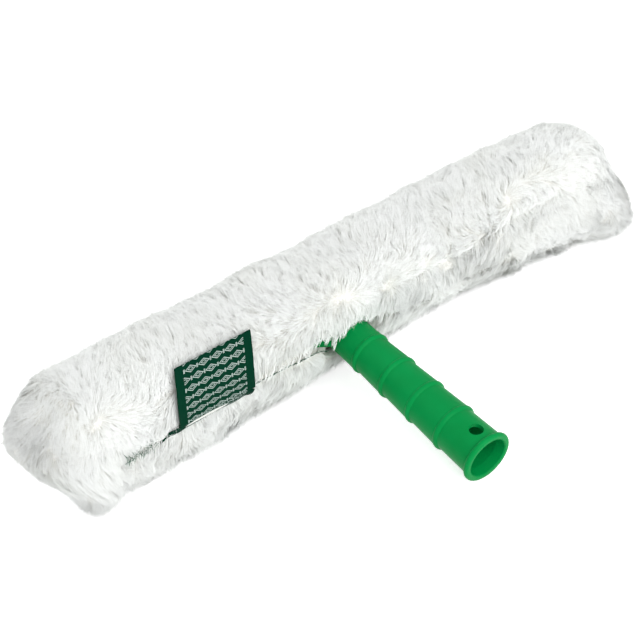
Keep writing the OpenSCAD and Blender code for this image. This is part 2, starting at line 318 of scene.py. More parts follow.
def cloth_at(reach, turn):
    p, n = sleeve(reach, turn, CLOTH)
    from_neck = np.abs(p[:, 0])
    lip = smooth(11, 1, np.abs(p[:, 2])) * smooth(6, -2, p[:, 1])
    lip = lip * smooth(HOOD_X + 6, HOOD_X - 14, from_neck) * smooth(14, 40, from_neck)
    p[:, 1] -= LIP_OUT * lip
    return hang(p), n


# The whorl that the left end's pile radiates from
WHORL = np.array([-172.0, -4.0, 37.0])


# Direction in which the pile is combed, with its length as how far the tips lie over
def combed(p, n):
    x, y, z = p[:, 0], p[:, 1], p[:, 2]
    still = np.zeros_like(x)
    # Over the top towards the front, down the back and the front, and forwards under the belly
    line = parting(x)
    high = smooth(line - 9, line + 9, z)[:, None]
    low = smooth(-22, -36, z)[:, None]
    over = np.stack([0.35 * np.sin(x / 37.0), still + 0.9, still - 0.15], -1)
    down = np.array([-0.3, 0, -0.95])
    forward = np.array([-0.4, 0.6, -0.3])
    c = over * high + down * (1 - high)
    c = c * (1 - low) + forward * low
    # Tousled on the lower flap, and raised along its lip
    flap = (smooth(4, -6, z) * smooth(6, -8, y))[:, None]
    raised = np.stack([still - 0.7, still, 0.5 * smooth(-14, -3, z) - 0.45], -1)
    c = c * (1 - 0.7 * flap) + raised * 0.7 * flap
    # The left end radiates from its whorl, and the right one is brushed outwards and down
    from_whorl = p - WHORL
    ray = unit(from_whorl)
    near = smooth(4, 28, np.linalg.norm(from_whorl, axis=-1))[:, None]
    t = smooth(HOOD_X - 28, HOOD_X + 8, -x)[:, None]
    c = c * (1 - t) + (0.85 * ray + 0.25 * np.cross(n, ray)) * t * near
    t = smooth(HOOD_X - 40, HOOD_X + 12, x)[:, None]
    c = c * (1 - 0.9 * t) + np.array([0.4, 0.1, -0.33]) * t
    swirl = np.stack([waves(p, 26.0, k) for k in (11, 12, 13)], -1)
    fine = np.stack([waves(p, 9.0, k) for k in (14, 15, 16)], -1)
    c = c + (0.6 + 0.3 * flap) * swirl + (0.5 + 0.35 * flap) * fine
    return c - n * (c * n).sum(-1, keepdims=True)


# A piece of mesh that rides on a body: places in metres, and groups of faces with equal corner counts
def mesh_piece(name, places, faces, body, look, uv=None, shade=None, normals=None):
    mesh = bpy.data.meshes.new(name)
    faces = [np.asarray(f, np.int32) for f in faces if len(f)]
    loops = np.concatenate([f.ravel() for f in faces])
    sizes = np.concatenate([np.full(len(f), f.shape[1], np.int32) for f in faces])
    starts = np.concatenate([[0], np.cumsum(sizes)[:-1]])
    mesh.vertices.add(len(places))
    mesh.vertices.foreach_set("co", np.asarray(places, np.float32).ravel())
    mesh.loops.add(len(loops))
    mesh.loops.foreach_set("vertex_index", loops.astype(np.int32))
    mesh.polygons.add(len(sizes))
    mesh.polygons.foreach_set("loop_start", starts.astype(np.int32))
    mesh.polygons.foreach_set("use_smooth", np.ones(len(sizes), bool))
    if uv is not None:
        layer = mesh.uv_layers.new(name="thread")
        layer.data.foreach_set("uv", np.asarray(uv, np.float32)[loops].ravel())
    if shade is not None:
        layer = mesh.attributes.new("along", "FLOAT", "POINT")
        layer.data.foreach_set("value", np.asarray(shade, np.float32))
    mesh.update(calc_edges=True)
    if normals is not None:
        mesh.normals_split_custom_set_from_vertices(np.asarray(normals, np.float32))
    piece = bpy.data.objects.new(name, mesh)
    bpy.context.scene.collection.objects.link(piece)
    mesh.materials.append(look)
    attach(piece, body)
    return piece


def grid_faces(rows, columns, wrap=False):
    i, j = np.meshgrid(np.arange(rows - 1), np.arange(columns if wrap else columns - 1), indexing="ij")
    here, there = i * columns, (i + 1) * columns
    k = (j + 1) % columns
    return np.stack([here + j, there + j, there + k, here + k], -1).reshape(-1, 4)


# The two flat ends of a grid that is closed across its columns
def end_faces(rows, columns):
    return [np.arange(columns)[None, ::-1], (rows - 1) * columns + np.arange(columns)[None, :]]


# Materials


# An sRGB hex colour as the linear one that Blender works with
def linear(hex_colour):
    parts = [int(hex_colour[i:i + 2], 16) / 255 for i in (0, 2, 4)]
    return tuple(v / 12.92 if v <= 0.04045 else ((v + 0.055) / 1.055) ** 2.4 for v in parts) + (1.0,)


def material(name):
    made = bpy.data.materials.new(name)
    made.use_nodes = True
    made.node_tree.nodes.clear()
    return made, made.node_tree


# Adds a node and gives back one of its outputs. Links or plain values go to its sockets, by name or
# number, stops are a ramp's places and colours, and settings are the node's own properties.
def node(tree, kind, sockets=(), output=0, stops=(), **settings):
    made = tree.nodes.new("ShaderNode" + kind)
    for key, value in settings.items():
        setattr(made, key, value)
    while stops and len(made.color_ramp.elements) < len(stops):
        made.color_ramp.elements.new(0.5)
    for k, (at, colour) in enumerate(stops):
        element = made.color_ramp.elements[k]
        element.position, element.color = at, linear(colour)
    for key, value in dict(sockets).items():
        if isinstance(value, bpy.types.NodeSocket):
            tree.links.new(value, made.inputs[key])
        else:
            made.inputs[key].default_value = value
    return made.outputs[output] if len(made.outputs) else made


# Scale of a noise or cell pattern, whose coordinates are metres, from the size of one grain in mm
def grained(size):
    return 1 / (size * MM)


# Scale of a pattern of straight ribs, whose coordinates are mm, from the ribs' pitch in mm
def ribbed(pitch):
    return math.pi / 10 / pitch


# Finishes a fabric: its colours and its relief follow one pattern, which stands up from it by some mm; its
# hollows get the darker colour, as painted shade
def fabric(tree, pattern, stops, strength, stands, roughness, shine=0.5, **side):
    colour = node(tree, "ValToRGB", {0: pattern}, stops=stops)
    bump = node(tree, "Bump", {"Strength": strength, "Distance": stands * MM, "Height": pattern}, **side)
    cloth = node(tree, "BsdfPrincipled", {"Base Color": colour, "Roughness": roughness, "Normal": bump,
                                          "Specular IOR Level": shine})
    node(tree, "OutputMaterial", {"Surface": cloth})


# Polypropylene, injection moulded and left as it leaves the mould: an even strong green with a satin
# skin. Its flow marks are 22 mm broad and faint. Its grain is drawn 0.67 mm wide, coarser than the
# real one, so that the light still breaks on it.
moulded, tree = material("moulded green polypropylene")
place = node(tree, "TexCoord", output="Object")
flow = node(tree, "TexNoise", {"Vector": place, "Scale": grained(22.2), "Detail": 3.0})
grain = node(tree, "TexNoise", {"Vector": place, "Scale": grained(0.667), "Detail": 2.0})
green = node(tree, "ValToRGB", {0: flow}, stops=[(0.3, "007F3C"), (0.7, "008843")])
satin = node(tree, "MapRange", {"Value": flow, "From Min": 0.3, "From Max": 0.7,
                                "To Min": 0.36, "To Max": 0.44})
bump = node(tree, "Bump", {"Strength": 0.06, "Distance": 0.2 * MM, "Height": grain})
skin = node(tree, "BsdfPrincipled", {"Base Color": green, "Roughness": satin, "Normal": bump, "IOR": 1.49,
                                     "Specular IOR Level": 0.06})
node(tree, "OutputMaterial", {"Surface": skin})
frame["nodes"]["t_bar"].data.materials.clear()
frame["nodes"]["t_bar"].data.materials.append(moulded)

# Polyester microfibre, knitted in as long pile and brushed: white matt strands, with painted shade that
# makes them a little warmer and darker towards their roots, in cooler and warmer patches 36 mm across
pile_look, tree = material("white microfibre pile")
along = node(tree, "Attribute", output="Fac", attribute_name="along")
place = node(tree, "TexCoord", output="Object")
patch = node(tree, "TexNoise", {"Vector": place, "Scale": grained(35.7), "Detail": 2.0})
# Painted shade: each strand darkens from its tip down to its root, where the pile is deep
cool = node(tree, "ValToRGB", {0: along}, stops=[(0.0, "E7E8E3"), (0.45, "F2F4F2"), (1.0, "F8FAF9")])
warm = node(tree, "ValToRGB", {0: along}, stops=[(0.0, "E2E2DA"), (0.45, "F0F2EF"), (1.0, "F6F8F6")])
share = node(tree, "MapRange", {"Value": patch, "From Min": 0.4, "From Max": 0.65})
white = node(tree, "MixRGB", {"Fac": share, "Color1": cool, "Color2": warm})
fibre = node(tree, "BsdfPrincipled", {"Base Color": white, "Roughness": 0.85, "Specular IOR Level": 0.2})
node(tree, "OutputMaterial", {"Surface": fibre})

# The same fibre packed close at the foot of the pile, in fine curls: white, with painted shade that
# makes it warmer and darker in its hollows. The curls are drawn 1.1 mm wide, coarser than the real ones, so
# that they show.
undercoat_look, tree = material("packed microfibre pile")
place = node(tree, "TexCoord", output="Object")
curl = node(tree, "TexNoise", {"Vector": place, "Scale": grained(1.11), "Detail": 3.0, "Distortion": 1.2})
fabric(tree, curl, [(0.3, "DFDDD4"), (0.6, "F2F2EF")], strength=0.6, stands=0.8, roughness=0.9, shine=0.1)

# Polyester, knitted in loops 1.4 mm across: a warm white net whose hollows are painted darker, as
# painted shade, seen only where the pile parts
backing_look, tree = material("knitted polyester backing")
place = node(tree, "TexCoord", output="Object")
knit = node(tree, "TexVoronoi", {"Vector": place, "Scale": grained(1.43)}, output="Distance")
fabric(tree, knit, [(0.0, "E9E6DA"), (0.8, "C9C4B2")], strength=0.5, stands=0.4, roughness=0.9, invert=True)

# Polyester yarn of the band, spun and then frayed: green, with painted shade that makes it dark at its
# roots in the slit and paler at its loose ends, where white fibre half buries it
thread_shade_look, tree = material("frayed green yarn and painted shade")
along = node(tree, "Attribute", output="Fac", attribute_name="along")
# Painted shade: dark where the yarn goes into the slit
green = node(tree, "ValToRGB", {0: along}, stops=[(0.0, "0B3D29"), (1.0, "2E6B50")])
yarn = node(tree, "BsdfPrincipled", {"Base Color": green, "Roughness": 0.8, "Specular IOR Level": 0.2})
node(tree, "OutputMaterial", {"Surface": yarn})

# Nylon touch fastening, woven with its loops or hooks standing up: a slightly warm white with a
# surface broken in spots 0.7 mm wide
fastener_look, tree = material("woven nylon touch fastening")
place = node(tree, "TexCoord", output="Object")
loops = node(tree, "TexNoise", {"Vector": place, "Scale": grained(0.714), "Detail": 2.0})
# Painted shade: the spots are darker where they lie low
fabric(tree, loops, [(0.35, "D8D8D2"), (0.65, "EFEFEA")], strength=0.4, stands=0.3, roughness=0.6)

# Polyester binding tape, woven as twill: matt white with fine ribs that slant across it. The ribs are
# drawn 1 mm apart along the tape, wider than the real ones, so that they show. Slanting ribs are
# counted half as fast as straight ones, so their scale is doubled.
tape_look, tree = material("white twill tape")
thread = node(tree, "UVMap", uv_map="thread")
ribs = node(tree, "TexWave", {"Vector": thread, "Scale": 2 * ribbed(1.013), "Distortion": 0.3}, output=1,
            bands_direction="DIAGONAL")
# Painted shade: darker between the ribs
fabric(tree, ribs, [(0.0, "D5D6D1"), (1.0, "E8E9E5")], strength=0.35, stands=0.3, roughness=0.8)


# 1 for what is seen directly, in a shiny surface or through a clear one, and 0 for light on the object
def seen_directly(tree):
    seen = 0.0
    for ray in ("Is Camera Ray", "Is Glossy Ray", "Is Transmission Ray"):
        seen = node(tree, "Math", {0: seen, 1: node(tree, "LightPath", output=ray)}, operation="MAXIMUM")
    return seen


# Uncoated paper, rolled smooth: an even matt white with fibre clouds 17 mm across. It glows only for
# the eye, so that it goes out to white and still takes the object's shadow.
PAPER_GLOW = 0.58
paper, tree = material("white paper sweep")
glow = node(tree, "Math", {0: seen_directly(tree), 1: PAPER_GLOW}, operation="MULTIPLY")
place = node(tree, "TexCoord", output="Object")
cloud = node(tree, "TexNoise", {"Vector": place, "Scale": grained(16.7), "Detail": 4.0})
white = node(tree, "ValToRGB", {0: cloud}, stops=[(0.3, "F1F1F1"), (0.7, "F4F4F4")])
matt = node(tree, "BsdfDiffuse", {"Color": white})
lit = node(tree, "Emission", {"Strength": glow})
node(tree, "OutputMaterial", {"Surface": node(tree, "AddShader", {0: matt, 1: lit})})

# Pile

# Rings of a strand below its tip, by share of its length, and its width at each
RINGS, TAPER = np.array([0.0, 0.38, 0.72]), np.array([0.9, 1.0, 0.75])
STEPS = np.append(RINGS, 1.0)
# Strands, in millimetres, with their half width: single fibres are too fine to show, so each strand
# stands for a bundle of them
STRAND_LENGTH, STRAND_WIDTH, TUFT_SIZE, TUFT_SEED = 8.8, 0.105, 5.0, 40
# Share of the way to its tuft's middle that a strand's tip is drawn
GATHER = 0.34
# How many tufts stop at the slit, as a level of a standard normal number
SPARSE = 2.2
# The part of the sleeve where strands meet the slit: behind this y, and left of this x
MEETS_SLIT_Y, MEETS_SLIT_X = -8.0, 40.0


# Shortens the strands that end beyond a level to end at it, but keeps at least a share of each
def stopped(p, end, level, beyond, least):
    length = np.where(beyond, p[:, 2] - end[:, 2], 1.0)
    part = np.where(beyond, (p[:, 2] - level) / length, 1.0)
    return p + (end - p) * np.clip(part, least, 1.0)[:, None]


# Strands that rise from the undercoat and lie along the surface with their tips at the top
def strands(name, p, n, rng):
    count = len(p)
    lean = unit(combed(p, n))
    tuft = tuft_of(p, TUFT_SIZE, TUFT_SEED)
    members = np.maximum(np.bincount(tuft), 1)
    mood = rng.normal(0, 1, (len(members), 4))[tuft]
    across = np.cross(n, lean)
    lean = lean + across * (0.2 * mood[:, :1] + rng.normal(0, 0.16, (count, 1)))
    length = STRAND_LENGTH * (1 + 0.08 * mood[:, 1] + rng.normal(0, 0.14, count))
    end = p + lean * length[:, None]
    # Above the slit some tufts hang over it and the others stop at its edge
    meets = (p[:, 1] < MEETS_SLIT_Y) & (p[:, 0] > -HOOD_X) & (p[:, 0] < MEETS_SLIT_X)
    room = 0.6 + 0.7 * smooth(-72, -66, end[:, 0]) * smooth(-14, -24, end[:, 0])
    edge = slit_middle(end[:, 0]) + np.minimum(slit_gap(end[:, 0]), 7.0) + room
    beyond = meets & (p[:, 2] > edge) & (end[:, 2] < edge) & (mood[:, 3] < SPARSE)
    end = stopped(p, end, edge, beyond, 0.35)
    # Below it none crosses it
    edge = slit_middle(end[:, 0]) - slit_drop(end[:, 0]) - 0.3
    beyond = meets & (p[:, 2] < edge) & (end[:, 2] > edge)
    end = stopped(p, end, edge, beyond, 0.25)
    centre = np.stack([np.bincount(tuft, end[:, k]) / members for k in range(3)], -1)[tuft]
    end = end + (centre - end) * (GATHER * rng.uniform(0.3, 1.3, (count, 1)))
    # Heights of root and tip over the sleeve's form; a few loose tips stand up further
    low = -DEEP - 0.5
    high = 0.1 + 0.3 * mood[:, 2] + rng.normal(0, 0.3, count)
    loose = 0.1 + 0.16 * smooth(4, -10, p[:, 2]) * smooth(6, -8, p[:, 1])
    high = high + (rng.random(count) < loose) * rng.uniform(0.6, 2.9, count)
    t = STEPS[:, None]
    path = p[None] * (1 - t[..., None]) + end[None] * t[..., None]
    bend = np.sin(t * math.pi) * rng.normal(0, 0.55, count)
    path = path + bend[..., None] * across[None]
    d, out = outside(path, PILE)
    level = low + (high - low) * (1 - (1 - t) ** 1.5) + relief(p) * (1 - t) + relief(end) * t
    line = hang((path + out * (level - d)[..., None]).reshape(-1, 3)).reshape(path.shape)
    return ribbons(name, clear_of(line), out, rng, pile_look, STRAND_WIDTH)


# Each strand is a flat fibre bundle along its line: pairs of points and one at its tip
def ribbons(name, line, out, rng, look, width):
    count = line.shape[1]
    flow = unit(np.gradient(line, axis=0))
    face = unit(out + rng.normal(0, 0.15, (count, 3)))
    wide = unit(np.cross(flow, face))
    girth = width * rng.uniform(0.7, 1.3, count)
    pairs = []
    for k in range(len(RINGS)):
        edge = wide[k] * (girth * TAPER[k])[:, None]
        pairs += [line[k] - edge, line[k] + edge]
    places = np.stack(pairs + [line[-1]], 1).reshape(-1, 3)
    step = 2 * len(RINGS) + 1
    start = (np.arange(count) * step)[:, None]
    quads = [start + np.array([2 * k, 2 * k + 1, 2 * k + 3, 2 * k + 2]) for k in range(len(RINGS) - 1)]
    points = start + np.array([step - 3, step - 2, step - 1])
    # The roots' darker white is painted shade; some strands, at random, keep it further up
    shade = np.append(np.repeat(RINGS, 2), 1.0)[None] * (1 - 0.55 * rng.random((count, 1)) ** 3)
    # Each takes the light mostly as the sleeve's surface does, so that the pile looks soft
    soft = unit(unit(np.cross(wide, flow)) * 0.16 + out * 0.84)
    normals = np.stack([soft[k // 2] for k in range(step)], 1).reshape(-1, 3) @ TURN.T
    return mesh_piece(name, laid(places), [np.concatenate(quads), points], "sleeve", look,
                      shade=shade.ravel(), normals=normals)


# Room round the neck, beside the tab and over the table, and how deep the pile lies under the tab
NECK_CLEAR, TAB_CLEAR, TABLE_CLEAR, TAB_SUNK = 0.7, 0.8, 0.35, 0.4


# Keeps the pile off the neck, the tab and the table
def clear_of(line):
    x, y, z = line[..., 0], line[..., 1], line[..., 2]
    away = np.sqrt(x * x + z * z)
    limit = NECK_R + NECK_CLEAR + 0.036 * np.clip(PILE["back"] - y, 0, 40)
    push = np.where((y < 0.5) & (away < limit), limit / np.maximum(away, 0.1), 1.0)
    x, z = x * push, z * push
    beside = (x > TAB_LEFT - TAB_CLEAR) & (x < TAB_RIGHT + TAB_CLEAR)
    tab = beside & (z > -0.5) & (z < TAB_TOP + 0.5) & (y < 20)
    bend_y, bend_z, r = PILE["back"] + PILE["edge"], PILE["half"] - PILE["edge"], PILE["edge"] - TAB_SUNK
    curved = bend_y - np.sqrt(np.maximum(r ** 2 - (z - bend_z) ** 2, 1))
    over = np.where(z < bend_z, PILE["back"] + TAB_SUNK, curved)
    y = np.where(tab & (y < over), over, y)
    line = np.stack([x, y, z], -1)
    low = (line @ TURN.T + SHIFT)[..., 2] - TABLE_CLEAR
    return line + np.where(low < 0, -low, 0)[..., None] * TURN[2]


# The pieces that the pile is cut into: five strips along the bar, each in two halves, and the hoods
STRIPS, HANDS = ("upper_back", "top", "front", "underside", "lower_back"), ("left", "right")
PILE_NAMES = [f"pile_{strip}_{hand}" for strip in STRIPS for hand in HANDS]
LEFT_HOOD, RIGHT_HOOD = len(PILE_NAMES), len(PILE_NAMES) + 2
PILE_NAMES += [f"pile_{hand}_hood_{face}" for hand in HANDS for face in ("back", "front")]
# Turns at which the strips end and between which a hood's front lies, and where the halves meet
STRIP_ENDS, FRONT_FROM, FRONT_TO, HALVES_X = (0.15, 0.37, 0.63, 0.86), 0.3, 0.8, 8.0


def region(turn, x):
    strip = 2 * np.searchsorted(STRIP_ENDS, turn, side="right") + (x >= HALVES_X)
    front = (turn > FRONT_FROM) & (turn < FRONT_TO)
    return np.where(x < -HOOD_X, LEFT_HOOD + front, np.where(x > HOOD_X, RIGHT_HOOD + front, strip))


# Strands are scattered evenly, STRANDS on a square millimetre, but more thinly on the turns that face
# away or lie on the table
STRANDS, THIN_SHARE, THIN_FROM, THIN_TO = 2.9, 0.62, 0.40, 0.86
DENSITY = 1.0
ROWS, COLUMNS = 420, 200
rng = np.random.default_rng(20)
reach_edges = np.linspace(-3, 3, ROWS + 1)
turn_edges = np.linspace(0, 1, COLUMNS + 1)
reach_mid, turn_mid = (reach_edges[1:] + reach_edges[:-1]) / 2, (turn_edges[1:] + turn_edges[:-1]) / 2
r_mid, t_mid = np.meshgrid(reach_mid, turn_mid, indexing="ij")
corner_r, corner_t = np.meshgrid(reach_edges, turn_edges - 1e-9, indexing="ij")
corners, _ = sleeve(corner_r.ravel(), np.clip(corner_t.ravel(), 0, 1 - 1e-9), PILE)
corners = corners.reshape(ROWS + 1, COLUMNS + 1, 3)
diagonals = np.cross(corners[1:, 1:] - corners[:-1, :-1], corners[1:, :-1] - corners[:-1, 1:])
cell_area = np.linalg.norm(diagonals, axis=-1) / 2
weight = (cell_area * np.where((t_mid < THIN_FROM) | (t_mid > THIN_TO), 1.0, THIN_SHARE)).ravel()
total = int(weight.sum() * STRANDS * DENSITY)
cell = rng.choice(len(weight), total, p=weight / weight.sum())
reach = r_mid.ravel()[cell] + rng.uniform(-0.5, 0.5, total) * 6 / ROWS
turn = (t_mid.ravel()[cell] + rng.uniform(-0.5, 0.5, total) / COLUMNS) % 1
top, n = sleeve(reach, turn, PILE)
# None grows in the open slit or where the tape shows below the tab
from_slit = top[:, 2] - slit_middle(top[:, 0])
lips = np.where(from_slit > 0, slit_gap(top[:, 0]), slit_drop(top[:, 0]))
faces_back = n[:, 1] < -0.5
open_slit = faces_back & (np.abs(from_slit) < lips + 0.3) & (np.abs(top[:, 0]) < HOOD_X)
tape = faces_back & (from_slit < 0) & (from_slit > -1.6) & (top[:, 0] > -141) & (top[:, 0] < -66)
keep = ~open_slit & ~tape
turn, top, n = turn[keep], top[keep], n[keep]
where = region(turn, top[:, 0])
for k, name in enumerate(PILE_NAMES):
    m = where == k
    piece = strands(name, top[m], n[m], rng)

# Tufts that hang from the upper lip, at even steps that each stray a little, and over the neck, on
# an arc round it
LIP_WIDTH = 0.13
LIP_FROM, LIP_TO, LIP_STEP, LIP_STRAY, LIP_STRANDS = -68.0, -13.0, 3.4, 1.3, 7
NECK_TUFTS = (-14.5, -12.8, -11.0, -9.6, -8.0, -6.8, -5.0, -2.5, 1.5, 5.0, 9.0, 12.0)
NECK_ARC, NECK_STRANDS = 14.4, 14
dice = np.random.default_rng(7)
# Root, tip and number of strands of each tuft
hanging = []
for x in np.arange(LIP_FROM, LIP_TO, LIP_STEP):
    x = x + dice.uniform(-LIP_STRAY, LIP_STRAY)
    edge = float(slit_middle(np.array(x))) + min(float(slit_gap(np.array(x))), 9.0)
    drop = dice.uniform(-0.4, 2.4) + (dice.uniform(0.5, 6.0) if x > -40 else 0.0)
    hanging.append(((x + 3.0, -16.8, edge + 4.0), (x - 1.5 - 0.3 * drop, -19.3, edge - drop), LIP_STRANDS))
for x in NECK_TUFTS:
    level = math.sqrt(max(NECK_ARC ** 2 - x * x, 4.0))
    out = dice.uniform(1.0, 3.0) + (dice.uniform(1.0, 5.5) if -12 < x < -4 else 0.0)
    hanging.append(((x + 2.4, -16.5, level + 4.5), (x - 1.8, -17.5 - out, level + 0.1), NECK_STRANDS))
t = STEPS[:, None, None]
belly = np.sin(t * math.pi * 0.8) * np.array([0.0, -1.3, 0.7])
lines = []
for root, tip, many in hanging:
    begin = np.array(root) + dice.normal(0, 1, (many, 3)) * (1.3, 0.6, 1.4)
    finish = np.array(tip) + dice.normal(0, 1, (many, 3)) * (0.4, 0.3, 0.9)
    lines.append(begin * (1 - t) + finish * t + belly)
line = clear_of(np.concatenate(lines, 1))
out = np.broadcast_to(np.array([0.0, -0.85, 0.5]), line.shape)
tufts = ribbons("pile_lip_tufts", line, out, dice, pile_look, LIP_WIDTH)

# Green yarn: stray threads caught in the pile past the slit's end, then the stitches along the slit
# between the tab and the neck, dark yarn put there as painted shade inside the slit
STRAYS, STRAY_WIDTH, SHADE_STITCHES, SHADE_STITCH_WIDTH = 130, 0.1, 170, 0.2
x = -HOOD_X + 20.0 * dice.random(STRAYS) ** 1.3
height = 0.11 * (x + HOOD_X) + 1.0
begin = np.stack([x, dice.uniform(-19.2, -17.6, STRAYS), height + dice.normal(0, 1.3, STRAYS)], -1)
drift = [dice.normal(-1.5, 1.2, STRAYS), dice.uniform(-1.6, -0.4, STRAYS), dice.normal(1.0, 2.8, STRAYS)]
finish = begin + np.stack(drift, -1)
# The stitches are dark yarn laid where the slit lies in shade: painted shade
x = dice.uniform(-70.0, -19.0, SHADE_STITCHES)
level = slit_middle(x) - slit_drop(x) * 0.6 + dice.normal(0, 0.35, SHADE_STITCHES)
inner, outer = np.full(SHADE_STITCHES, -15.8), np.full(SHADE_STITCHES, -18.3)
begin = np.concatenate([begin, np.stack([x, inner, level - 1.2], -1)])
finish = np.concatenate([finish, np.stack([x + dice.normal(1.0, 0.7, SHADE_STITCHES), outer, level + 1.3], -1)])
line = clear_of(begin * (1 - t) + finish * t)
out = np.broadcast_to(np.array([0.0, -0.9, 0.3]), line.shape)
widths = np.append(np.full(STRAYS, STRAY_WIDTH), np.full(SHADE_STITCHES, SHADE_STITCH_WIDTH))
shade_stitches = ribbons("slit_shade_stitches", line, out, dice, thread_shade_look, widths)


# Reach and turn of a grid over the whole sleeve, open along the slit and just short of the ends' centres
def over_sleeve(rows, columns):
    reach, turn = np.linspace(-2.98, 2.98, rows), np.linspace(0.0005, 0.9995, columns)
    reach, turn = np.meshgrid(reach, turn, indexing="ij")
    return reach.ravel(), turn.ravel()


# Undercoat: one skin from hood to hood, finely rough, turned in at the slit's lips by TURN_STEEP for
# each millimetre, and by no more than TURN_IN
UNDER_ROWS, UNDER_COLUMNS, TURN_STEEP, TURN_IN = 420, 220, 2.5, 9.0
p, n = undercoat_at(*over_sleeve(UNDER_ROWS, UNDER_COLUMNS))
rough = 0.5 * waves(p, 3.1, 61) + 0.35 * waves(p, 1.7, 62)
p = p + n * rough[:, None]
middle = slit_middle(p[:, 0])
level = p[:, 2] - middle
above = level > 0
gap = np.where(above, slit_gap(p[:, 0]), slit_drop(p[:, 0])) + 1.0
in_slit = (n[:, 1] < -0.5) & (np.abs(p[:, 0]) < HOOD_X) & (np.abs(level) < gap)
deeper = np.where(in_slit, (gap - np.abs(level)) * TURN_STEEP, 0)
p[:, 2] = np.where(in_slit, middle + np.where(above, 1, -1) * gap, p[:, 2])
p[:, 1] += np.minimum(deeper, TURN_IN)
under = mesh_piece("pile_undercoat", laid(clear_of(p)), [grid_faces(UNDER_ROWS, UNDER_COLUMNS)], "sleeve",
                   undercoat_look)

# Backing cloth, one sheet from hood to hood that is open along the slit
CLOTH_ROWS, CLOTH_COLUMNS = 180, 120
reach, turn = over_sleeve(CLOTH_ROWS, CLOTH_COLUMNS)
p, n = cloth_at(reach, turn)
gap = slit_gap(p[:, 0])
in_slit = (n[:, 1] < -0.5) & (np.abs(p[:, 0]) < HOOD_X) & (np.abs(p[:, 2]) < gap)
p[:, 2] = np.where(in_slit, np.where(turn < 0.5, 1, -1) * gap, p[:, 2])
backing = mesh_piece("sleeve_backing", laid(p), [grid_faces(CLOTH_ROWS, CLOTH_COLUMNS)], "sleeve",
                     backing_look)
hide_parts("plush_panel", "left_hood", "right_hood", "upper_flap_left", "upper_flap_right",
            "lower_flap_left", "lower_flap_right")


# A closed profile in (y, z) swept along X; places has one row of profile points for each x
def swept(name, places, body, look):
    rows, columns = places.shape[:2]
    lengths = np.concatenate([[0], np.cumsum(np.linalg.norm(np.diff(places[0], axis=0), axis=-1))])
    uv = np.stack([np.repeat(places[:, 0, 0], columns), np.tile(lengths, rows)], -1)
    faces = [grid_faces(rows, columns, wrap=True)] + end_faces(rows, columns)
    piece = mesh_piece(name, laid(places.reshape(-1, 3)), faces, body, look, uv=uv)
    return piece


# The binding tape folded over the slit's edges: (y, distance from the edge)
HEM_SECTION = np.array([
    (-10.0, 0.0), (-14.0, 0.0), (-18.6, 0.1), (-20.2, 0.5), (-20.7, 1.3), (-20.4, 2.4),
    (-19.6, 3.3), (-18.6, 3.6), (-18.4, 3.0), (-18.2, 2.2), (-16.0, 1.5), (-10.0, 1.4),
])
# Where a tape starts beside the neck, and how far that end is tucked away
HEM_FROM, HEM_TUCK = 24.0, 4.0
# How much further in a tape lies than its section says: the lower one below the tab, and all elsewhere
HEM_IN_AT_TAB, HEM_IN = 2.3, 9.0


def recess(x, up):
    shown = smooth(-146, -132, x) * smooth(-64, -76, x) * (up < 0)
    return HEM_IN_AT_TAB + (HEM_IN - HEM_IN_AT_TAB) * (1 - shown)


def hem_tape(up, side):
    x = side * np.linspace(HEM_FROM, HOOD_X - 3, 120)
    wavy = 0.35 * np.sin(x / 7.0) + 0.3 * np.sin(x / 17.0 + up)
    edge = slit_gap(x) + HEM_TUCK * smooth(HEM_FROM + 14, HEM_FROM + 2, np.abs(x))
    places = np.zeros((len(x), len(HEM_SECTION), 3))
    places[:, :, 0] = x[:, None]
    places[:, :, 1] = HEM_SECTION[None, :, 0] + wavy[:, None] * 0.5 + recess(x, up)[:, None]
    places[:, :, 2] = slit_middle(x)[:, None] + up * (edge[:, None] + HEM_SECTION[None, :, 1])
    return places[::-1] if up * side > 0 else places


for up, level in ((1, "upper"), (-1, "lower")):
    for side, hand in ((-1, "left"), (1, "right")):
        hem = swept(f"{level}_hem_tape_{hand}", hem_tape(up, side), "sleeve", tape_look)
        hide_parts(f"{level}_hem_{hand}")

# Polyester band, woven as jacquard on a loom: a dark green ground that doesn't shine, with a pattern
# in a pale yarn, plain green at both sides, and a painted highlight along the fold at its top. Its yarns are
# drawn about 0.6 mm wide, coarser than the real ones, so that the weave shows. Its coordinates are mm along
# the bar and round the band.
band_look, tree = material("green jacquard band")
thread = node(tree, "UVMap", uv_map="thread")
# The pattern, in mm: rows of lozenges with short bars between them, every other row moved on by half
# a lozenge, and a plain margin at the left and the right side
ROW_PITCH, LOZENGE_PITCH, PLAIN_LEFT, PLAIN_RIGHT = 5.2, 8.6, 2.4, 8.0
PATTERN_MIDDLE = (TAB_LEFT + PLAIN_LEFT + TAB_RIGHT - PLAIN_RIGHT) / 2
PATTERN_HALF = (TAB_RIGHT - PLAIN_RIGHT - TAB_LEFT - PLAIN_LEFT) / 2
# How fast a lozenge's level rises from its middle, along the bar and up, for each pitch
STEEP_ALONG, STEEP_UP = 2.6, 2.9
# Levels at which its outer and its inner line are drawn, and their half widths
OUTER_LINE, OUTER_HALF, INNER_LINE, INNER_HALF = 1.02, 0.105, 0.5, 0.085
# A bar's place and half width as shares of a lozenge's pitch, and half its height as one of a row's
BAR_AT, BAR_HALF, BAR_REACH = 0.47, 0.018, 0.22
# The fold at the top: its place and half width in mm, and how pale its painted highlight is; the weave's
# share of relief
FOLD_AT, FOLD_HALF, FOLD_HIGHLIGHT, WEAVE_HEIGHT = 41.3, 0.9, 0.7, 0.4
